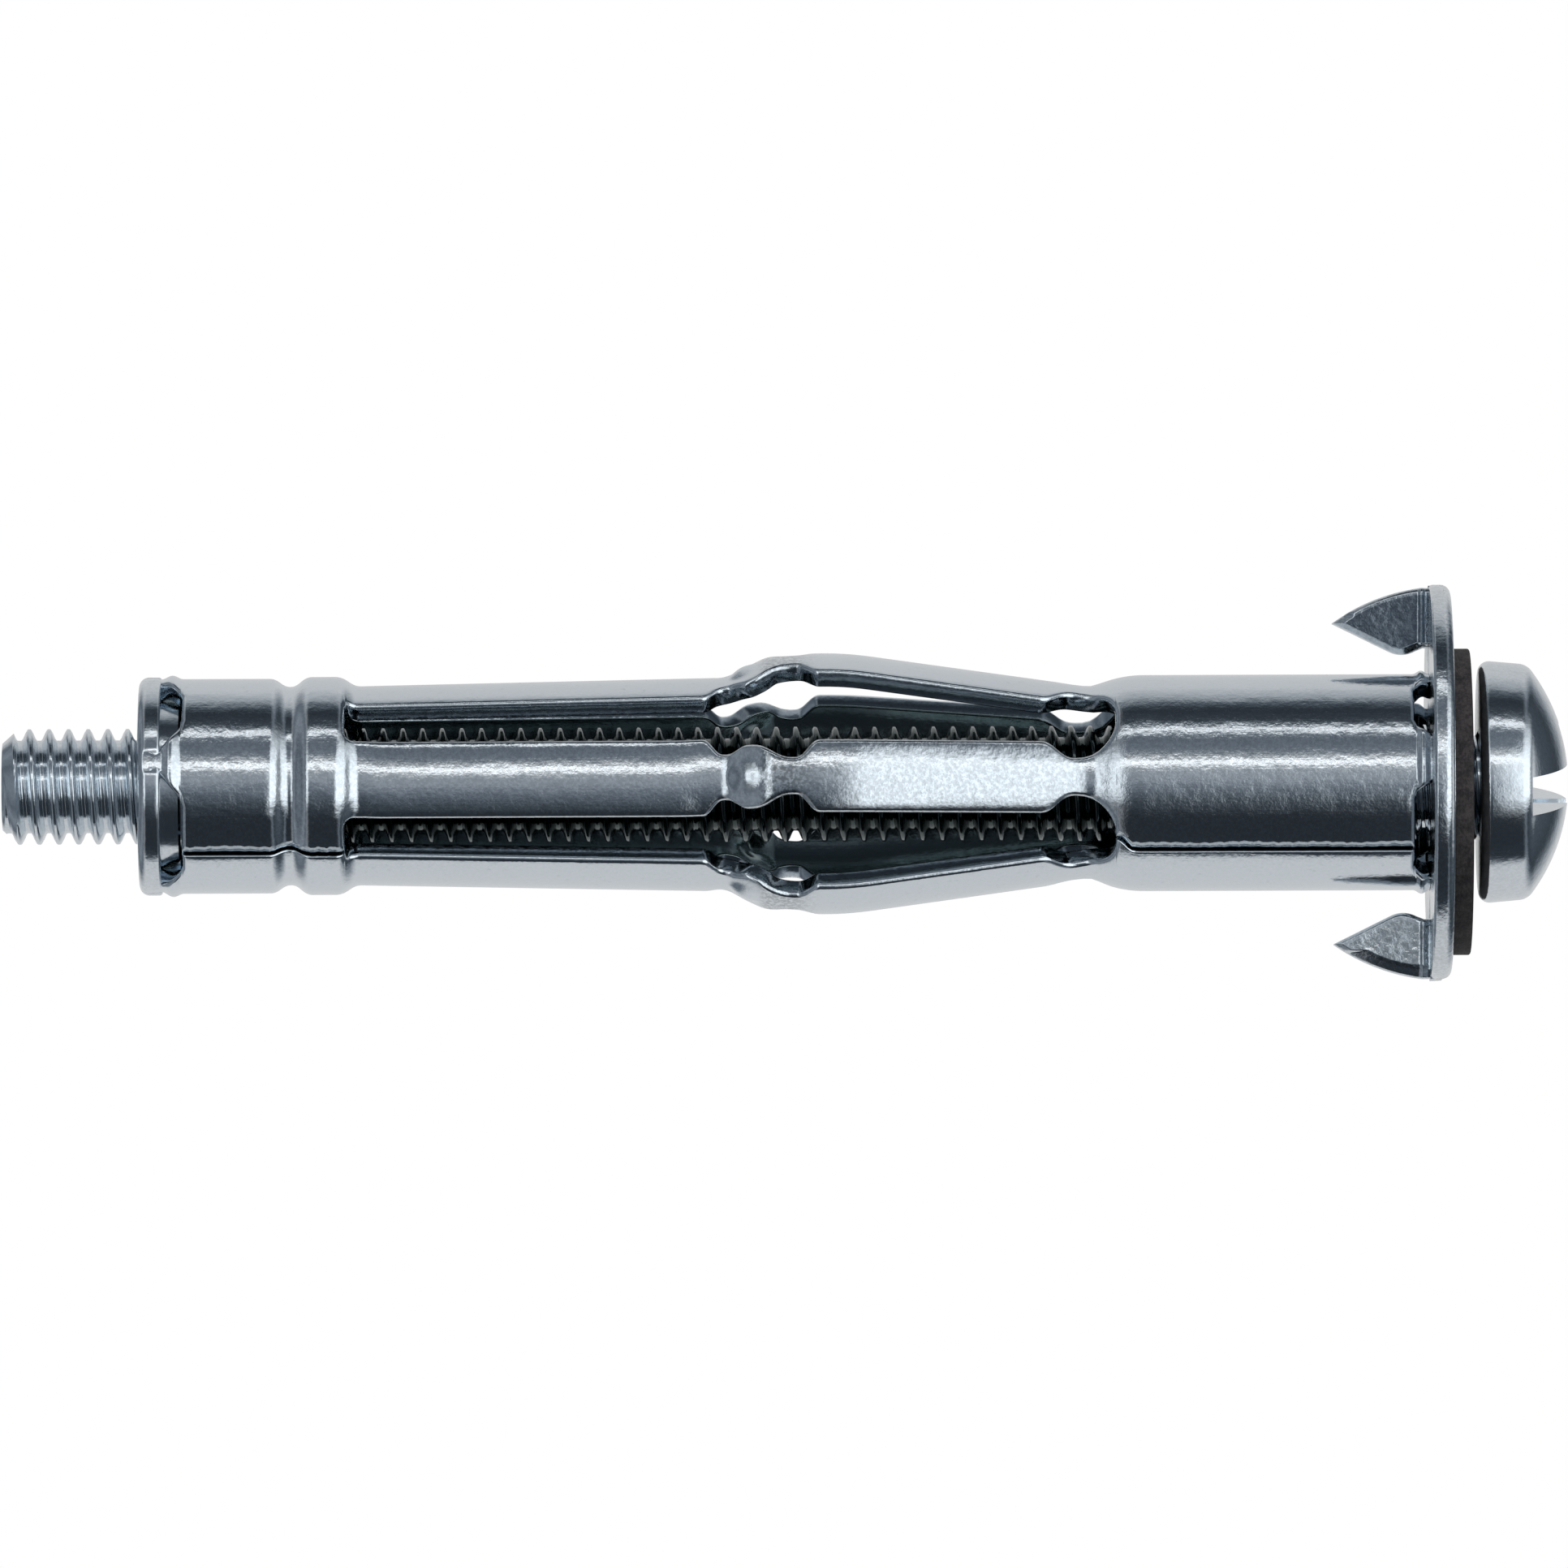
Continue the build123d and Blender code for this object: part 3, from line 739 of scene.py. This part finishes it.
for k in range(5):
    low, high = centres[k] - low_halves[k], centres[k] + high_halves[k]
    if k == 0:
        # On the tube the first arm's columns start clear of the seam.
        low = np.where(x > slot_stop - 1e-6, np.maximum(low, seam_start + seam_lip), low)
        add(seam_start[:, None] + np.degrees(seam_round / outline)[:, None] * steps, -1)
        add(fill(blocks[-1][:, -1], low, across_gap // 2), -1)
    else:
        add(fill(centres[k - 1] + high_halves[k - 1], low, across_gap), -1)
    low_band, high_band = low[:, None] + band(low_halves[k]), high[:, None] - band(high_halves[k])[:, ::-1]
    add(low_band, k)
    add(fill(low_band[:, -1], high_band[:, 0], across_arm), k)
    add(high_band, k)
last_band = seam_end[:, None] - np.degrees(chamfer / outline)[:, None] * np.array([1.15, 1, 0.66, 0.33, 0])
add(fill(centres[4] + high_halves[4], last_band[:, 0], across_gap // 2), -1)
add(last_band, -1)
angle, owners = np.hstack(blocks), np.array(owners)
print("net of", angle.shape[0], "rows and", angle.shape[1], "columns")

# %% The net's radii

radius = np.repeat(outline[:, None], angle.shape[1], axis=1)
middle_of = np.select([owners == k for k in range(5)], [arm_angles[k] for k in range(5)], 0.0)
dimple_x, dimple_radius, dimple_height, dimple_tilt = knee + 1.08, 0.98, 0.22, 0.20
hump_height, rim_lift, arm_lean, leaning_arm = 0.18, 0.05, 0.04, 4
aside = np.radians(angle - middle_of) * radius
off = np.sqrt((x[:, None] - dimple_x) ** 2 + aside**2) / dimple_radius
swollen = np.clip(1 - off**2, 0, 1) ** 1.6 * (owners >= 0)
radius = radius + (dimple_height - dimple_tilt * (x[:, None] - dimple_x)) * swollen


def hump(start, end):
    """A hump between two places along X: the squared cosine, 1 in the middle and level at both ends."""
    share = np.clip((x - (start + end) / 2) / (end - start), -0.5, 0.5)
    return np.cos(pi * share) ** 2


# The sheet rises beside each window, where the punch pushed it out, and the tongues lie on the nut's rim.
humps = hump(rim_face, collar_start) + hump(tube_end, wall_face)
radius = radius + hump_height * humps[:, None] * (owners >= 0)
radius = radius + rim_lift * (x < rim_face)[:, None]

# The long stretch of the front arm leans a little, as the rolls left it.
leaning = ease((x - step_end - 0.3) / 1.0) * (1 - ease((x - knee + 2.2) / 1.0))
radius = radius + arm_lean * aside * (leaning[:, None] * (owners == leaning_arm))

# Faces of the gaps are left out where the sheet is pierced.
pierced = arm_rows | tongue_rows | tab_rows
at_foot = (tongue_rows[:-1] & ~tongue_rows[1:]) | (~tab_rows[:-1] & tab_rows[1:])
open_rows = (pierced[:-1] & pierced[1:]) | at_foot
same_arm = (owners[:-1] == owners[1:]) & (owners[:-1] >= 0)
outside = faces_of(*angle.shape, ~open_rows[:, None] | same_arm[None, :])
print(len(outside), "faces on the sleeve's outside")

# %% Thickness and rounded edges

# The inside lies one sheet below the outside, straight below it in the collar and square to it elsewhere.
chamfer_slope = 0.42
leans_from = ease((x - (step_end + 0.1)) / 0.6) * (x < tube_end - 0.3)
lean = np.gradient(radius, x, axis=0) * leans_from[:, None]
square = np.sqrt(1 + lean**2)

# Every open edge is rounded, apart from those on the nut's rim, in the flange and along the seam, which
# has a rounding and a chamfer of its own.
edges = open_edges(outside)
columns = angle.shape[1]
flat = on_axis(x[:, None], radius, angle)
starts, ends = (flat.reshape(-1, 3)[edge] for edge in edges)
past_rim = np.maximum(starts[:, 0], ends[:, 0]) > rim_face
before_wall = np.minimum(starts[:, 0], ends[:, 0]) < wall_face
at_seam, also_at_seam = ((edge % columns) % (columns - 1) == 0 for edge in edges)
rounded = past_rim & before_wall & ~(at_seam & also_at_seam)
to_edge = edge_distance(flat, starts[rounded], ends[rounded])
past_seam = np.radians(angle - seam_start[:, None]) * radius
before_seam = np.radians(seam_end[:, None] - angle) * radius
drop = np.maximum(rounding(to_edge, edge_round), rounding(past_seam, seam_round))
drop = np.maximum(drop, np.clip(chamfer[:, None] - before_seam, 0, None) * chamfer_slope)
outer = on_axis(x[:, None], radius - drop, angle)
inner_radius = radius - sheet / square + rounding(to_edge, burr_round)
inner = on_axis(x[:, None] + sheet * lean / square, inner_radius, angle)

# The inner net repeats the outer one's faces, turned round, and a strip of faces joins their open edges.
# The faces of the seam's chamfer, in the last four columns, count as cut faces.
count = outer.shape[0] * columns
walls = np.stack([edges[1], edges[0], edges[0] + count, edges[1] + count], axis=1)
faces = np.concatenate([outside, outside[:, ::-1] + count, walls])
materials = np.repeat([0, 1, 2], [len(outside), len(outside), len(walls)])
chamfered = (outside % columns).min(axis=1) >= columns - 4
materials[:len(outside)][chamfered] = 2
sleeve = mesh_object("rolled_sleeve", np.concatenate([outer, inner]), faces, materials)
sleeve = smooth(welded(sleeve), 60)
for material in (sleeve_zinc, inner_painted_shade_zinc, cut_face_painted_shade_zinc):
    sleeve.data.materials.append(material)
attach(sleeve, "anchor")
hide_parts("expansion_sleeve")
print("sleeve of", len(sleeve.data.polygons), "faces")

# %% [markdown]
# ## The screw
# The thread is rolled, so its crests are soft; inside the sleeve its colour is darkened with painted
# shade. A height field works for it: the radius follows a fixed tooth shape along lines that climb one
# pitch to a turn, and the rows of the net climb with it, so each crest is one clean line. The head is
# turned, then a slot and a cross are cut into it: their flat walls cross the round crown, which a Boolean
# follows by itself and a net doesn't.

# %% Thread

pitch, thread_radius, thread_depth = 1.0, 2.94, 0.58
off_washer = 0.43
tip, head_face = screw_low[0], washer_high[0] + off_washer
crest_phase, tip_chamfer, tip_slope = 0.99, 0.8, 0.9
crest_half, flank_width = 0.07, 0.33
# Places of the rows within one pitch, closer together at the crest.
tooth = np.array([0.0, 0.05, 0.085, 0.20, 0.32, 0.40, 0.46, 0.54, 0.60, 0.68, 0.80, 0.915, 0.95])


def tooth_height(phase):
    """Height of the tooth over its root, 1 at a crest, by the share of a pitch from the crest: a
    straight flank with an eased top and bottom."""
    off_crest = np.abs(phase - np.round(phase))
    flank = 1 - (off_crest - crest_half) / flank_width
    return 0.5 * np.clip(flank, 0, 1) + 0.5 * ease(flank)


turn_columns = 49
around = np.linspace(0, 360, turn_columns)[None, :]
turns = np.arange(np.floor(tip) - 2, np.ceil(head_face) + 2)
wound = (turns[:, None] + tooth[None, :]).reshape(-1, 1) * pitch + around / 360 * pitch + crest_phase
inside = np.clip(wound, tip, head_face)
height = tooth_height(inside / pitch - crest_phase - around / 360)
reach = thread_radius - thread_depth * (1 - height)
reach = np.minimum(reach, thread_radius - np.maximum(tip_chamfer - (inside - tip), 0) * tip_slope)
shank = on_axis(inside, reach, around)
shank = np.concatenate([on_axis(np.full((1, turn_columns), tip), 0.0, around), shank], axis=0)
thread = smooth(welded(net("rolled_thread", shank)), 70)
print(len(thread.data.polygons), "faces on the thread")

# %% Head

head_radius, head_height, crown_radius, crown_edge, bearing_edge = 6.15, 4.6, 9.5, 0.9, 0.55
side_lean, side_length = 5.0, 1.5
# One bar of the cross: its width and span at the head's top and at its floor.
cross_top, cross_floor, cross_depth, cross_spread = (1.7, 6.8), (1.2, 2.6), 3.1, 1.15
slot_width, slot_depth, slot_turn = 1.95, 2.0, 7.5
head_top = head_face + head_height
crown_centre = head_top - crown_radius


def arc(centre, radius, start, end, count):
    """Points (x, r) on an arc, angles in degrees from the +X direction."""
    a = np.radians(np.linspace(start, end, count))
    return np.stack([centre[0] + radius * np.cos(a), centre[1] + radius * np.sin(a)], axis=1)


side_centre_r = head_radius - crown_edge - side_length * tan(radians(side_lean))
crown_angle = degrees(asin(side_centre_r / (crown_radius - crown_edge)))
side_centre_x = crown_centre + (crown_radius - crown_edge) * cos(radians(crown_angle))
head_outline = np.concatenate([
    [(head_face - 0.6, 0.0), (head_face - 0.6, 2.2), (head_face, 2.3)],
    arc((head_face + bearing_edge, head_radius - bearing_edge), bearing_edge, 180, 90 - side_lean, 7),
    arc((side_centre_x, side_centre_r), crown_edge, 90 - side_lean, crown_angle, 9),
    arc((crown_centre, 0.0), crown_radius, crown_angle, 0, 22)])
head_angles = np.linspace(0, 360, 129)[None, :-1]
turned_head = on_axis(head_outline[:, :1], np.maximum(head_outline[:, 1:], 0), head_angles)
head = welded(net("screw_head", turned_head, ring=True))


def block(name, sections):
    """A closed block from rectangles stacked along X: each section is (x, half height, half span)."""
    square = np.array([(-1, -1), (1, -1), (1, 1), (-1, 1)])
    points = np.array([[(x, a * wide, b * half) for a, b in square] for x, half, wide in sections])
    first, last = points[:1].mean(axis=1, keepdims=True), points[-1:].mean(axis=1, keepdims=True)
    points = np.concatenate([np.repeat(first, 4, 1), points, np.repeat(last, 4, 1)])
    return welded(net(name, points, ring=True))


def cut(obj, tool):
    """Takes the tool out of the object, and the tool with it."""
    modify(obj, "BOOLEAN", operation="DIFFERENCE", object=tool, solver="EXACT")
    graph = bpy.context.evaluated_depsgraph_get()
    mesh = bpy.data.meshes.new_from_object(obj.evaluated_get(graph))
    obj.modifiers.clear()
    obj.data = mesh
    bpy.data.objects.remove(tool)


floor_x = head_top - slot_depth
tools = [block("slot_tool", [(floor_x, slot_width / 2, 8.0), (head_top + 1, slot_width / 2, 8.0)])]
for top, low_end in ((cross_top, cross_floor), (cross_top[::-1], cross_floor[::-1])):
    tools.append(block("cross_tool", [
        (head_top - cross_depth, low_end[0] / 2, low_end[1] / 2), (head_top, top[0] / 2, top[1] / 2),
        (head_top + 0.5, top[0] / 2 * cross_spread, top[1] / 2 * cross_spread)]))
for tool in tools:
    tool.data.transform(Matrix.Rotation(radians(slot_turn), 4, "X"))
    cut(head, tool)
smooth(head, 35)
modify(head, "BEVEL", width=0.10 * MM, segments=2, limit_method="ANGLE", angle_limit=radians(40),
       harden_normals=True)
print(len(head.data.polygons), "faces on the head")

# %% One screw

for obj in (thread, head):
    obj.data.materials.append(screw_zinc)
    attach(obj, "screw")
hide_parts("machine_screw")
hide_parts("machine_screw")
print("screw from", tip.round(2), "to", head_top.round(2))

# %% [markdown]
# ## The nut
# The nut is turned: a rim outside the sleeve, a shoulder inside it and a hub. Its outline is swept round
# the axis. A Screw modifier could do that, but here the radius changes with the angle: where a tongue is
# pressed into the rim it sinks by a hair, with soft edges.

# %% Turned nut

nut_face, nut_end = rim_face, nut_high[0]
nut_outside = nut_low[0]
rim_radius, nut_shoulder, shoulder_length, hub, bore = nut_high[2], 4.49, 0.9, 4.09, 3.05
rim_round, rim_edge, bore_chamfer = 0.5, 0.15, 0.3
dent_half, dent_depth = 3.5, 0.06
nut_outline = np.concatenate([
    [(nut_outside + bore_chamfer, bore), (nut_outside, bore + bore_chamfer), (nut_outside, 4.0)],
    arc((nut_outside + rim_round, rim_radius - rim_round), rim_round, 180, 90, 9),
    [(nut_outside + 0.7, rim_radius), (nut_outside + 0.85, rim_radius)],
    arc((nut_face - rim_edge, rim_radius - rim_edge), rim_edge, 90, 0, 6),
    [(nut_face, nut_shoulder), (nut_face + shoulder_length, nut_shoulder),
     (nut_face + shoulder_length + 0.1, hub), (nut_end, hub), (nut_end, bore)]])
turned_angle = np.linspace(0, 360, 289)[None, :-1]
off_tongue = np.abs((turned_angle - tab_angles[:, None, None] + 180) % 360 - 180).min(axis=0)
sunk = 1 - ease((off_tongue - dent_half) / dent_half)
sunk = sunk * ease((nut_outline[:, :1] - nut_outside - 0.15) / 0.35) * (nut_outline[:, 1:] > 5.0)
nut_net = on_axis(nut_outline[:, :1], nut_outline[:, 1:] - dent_depth * sunk, turned_angle)
nut = smooth(welded(net("caught_nut", np.concatenate([nut_net, nut_net[:1]]), ring=True)), 35)
nut.data.materials.append(nut_zinc)
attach(nut, "anchor")
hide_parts("end_nut")
print(len(nut.data.polygons), "faces on the nut")

# %% [markdown]
# ## Flange and washer
# A flat disc and a flat ring have no shape that a net could draw better, so they come from the solid
# model. Each is a copy, welded and shaded smooth, that takes its finish. The flange's copy loses its
# claws, which are made next.

# %% Copies of the solid model's pieces


def dressed(name, node, body, material):
    """A welded, smoothly shaded copy of a node."""
    obj = bpy.data.objects.new(name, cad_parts[node].data.copy())
    obj.data.materials.clear()
    scene.collection.objects.link(obj)
    smooth(welded(obj, 0.001), 30)
    obj.data.materials.append(material)
    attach(obj, body)
    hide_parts(node)
    print(name, len(obj.data.polygons), "faces")
    return obj


dressed("washer", "fibre_washer", "washer", washer_fibre)
flange = dressed("pressed_flange", "claw_flange", "anchor", flange_zinc)
# The solid's own claws, which are all that lies before the wall face, are cut away.
cut(flange, block("claws_away", [(-6.0, 12.0, 12.0), (-0.01, 12.0, 12.0)]))
smooth(flange, 30)

# %% [markdown]
# ## Claws
# Each claw is a point of the flange folded over, and its cut border is rounded by tumbling. One closed
# outline is drawn in the plane of the claw and shrunk towards the middle of the circle that fits in it,
# so every row of the net is a copy of the outline at its own depth. It could be an extruded curve with a
# bevel, but the net also carries the crease of the fold.

# %% Two claws

claw_turn, claw_near, claw_far = -5.0, 0.4, 1.47
claw_middle, claw_inradius = np.array([-1.75, 8.15]), 1.17
flange_radius, flange_thickness, fold_radius, fold_neutral = 10.05, 1.07, 0.4, 0.4
claw_reach, heel, heel_round, root_height, inside_flange = 4.9, (-1.35, 6.45), 0.75, 6.95, 0.5
ridge_height, ridge_place, ridge_width = 0.12, -0.33, 0.13
split_height, split_slope, core_share = 8.2, 0.38, 0.45


def rim_height(x):
    """Height of the flange's old rim on the folded claw: the root of radius squared less the square of
    the distance along the flat sheet, which counts the fold's arc."""
    flat_length = (fold_radius + fold_neutral * flange_thickness) * pi / 2 - x - fold_radius
    return np.sqrt(flange_radius**2 - np.maximum(flat_length, 0.5) ** 2)


def claw_outline():
    """Points (x, height) round a claw: along its lower border, round the heel, up inside the flange and
    back to the point along the old rim."""
    point, root = (-claw_reach, rim_height(-claw_reach)), (-0.35, root_height)
    low_corner, high_corner = (inside_flange, root_height), (inside_flange, 9.96)
    towards = [np.subtract(end, heel) / np.hypot(*np.subtract(end, heel)) for end in (point, root)]
    first, last = (heel + heel_round * way for way in towards)
    t = np.linspace(0, 1, 24)[:, None]
    round_heel = (1 - t) ** 2 * first + 2 * t * (1 - t) * heel + t**2 * last
    back = np.linspace(-fold_radius, -claw_reach, 70)
    return np.concatenate([
        np.linspace(point, round_heel[0], 50)[:-1], round_heel, np.linspace(root, low_corner, 14)[1:],
        np.linspace(low_corner, high_corner, 50)[1:-1],
        np.linspace(high_corner, (-fold_radius, 9.966), 14)[:-1],
        np.stack([back, rim_height(back)], axis=1)[:-1]])


def claw(name, side, material, lean, rim_chamfer, heel_chamfer):
    """A plate whose rows shrink towards its middle. Its near face leans, a ridge runs along the fold, and
    the border is chamfered: a chamfer is a width and the slope of its face, one for the side of the old
    rim and one for the heel's side."""
    border = claw_outline()
    over_split = border[:, 1] - split_height + split_slope * (border[:, 0] + claw_reach)
    on_rim = ease(over_split * 2 - 1.0)
    width, slope = (at_heel + (at_rim - at_heel) * on_rim
                    for at_rim, at_heel in zip(rim_chamfer, heel_chamfer))
    shares = np.concatenate([np.linspace(1, core_share, 24)[:-1], np.linspace(core_share, 0, 22)])
    rows = claw_middle + (1 - shares)[:, None, None] * (border - claw_middle)
    inset = shares[:, None] * claw_inradius
    depth = np.clip(width - inset, 0, None) * slope + rounding(inset, 0.08)
    ridge = ridge_height * np.exp(-(((rows[..., 0] - ridge_place) / ridge_width) ** 2))
    near = claw_near - lean * (rows[..., 1] - claw_middle[1]) + depth - ridge
    far = np.broadcast_to(claw_far - rounding(inset, 0.25), near.shape)
    y = np.concatenate([near, far[::-1]])
    plane = np.concatenate([rows, rows[::-1]])
    height = plane[..., 1] * side
    c, s = cos(radians(claw_turn)), sin(radians(claw_turn))
    points = np.stack([plane[..., 0], y * c - height * s, y * s + height * c], axis=-1)
    row_width = np.minimum(width.max(), 0.3) / claw_inradius
    in_border = np.concatenate([shares[1:] < row_width, np.full(len(shares), True)]).repeat(len(border))
    obj = mesh_object(name, points, faces_of(*points.shape[:2], ring=True), in_border.astype(int))
    smooth(welded(obj), 50)
    for each in (material, flange_zinc):
        obj.data.materials.append(each)
    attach(obj, "anchor")
    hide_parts("claw_flange")
    print(name, len(obj.data.polygons), "faces")


# The upper claw's face takes the darkened zinc, which is painted shade; both claws' borders take the flange's
# zinc.
claw("upper_claw", 1, upper_claw_painted_shade_zinc, 0.15, (0.14, 1.3), (0.24, 1.5))
claw("lower_claw", -1, lower_claw_zinc, 0.0, (0.45, 0.55), (0.14, 1.3))

# %% [markdown]
# ## Sizes
# The dressed model stays within the solid model's box, and both boxes are printed.

# %% Write the boxes and finish

visual_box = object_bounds()
for name, box in (("cad", cad_box), ("visual", visual_box)):
    print(name, np.round(np.array(box) / MM, 2).tolist())
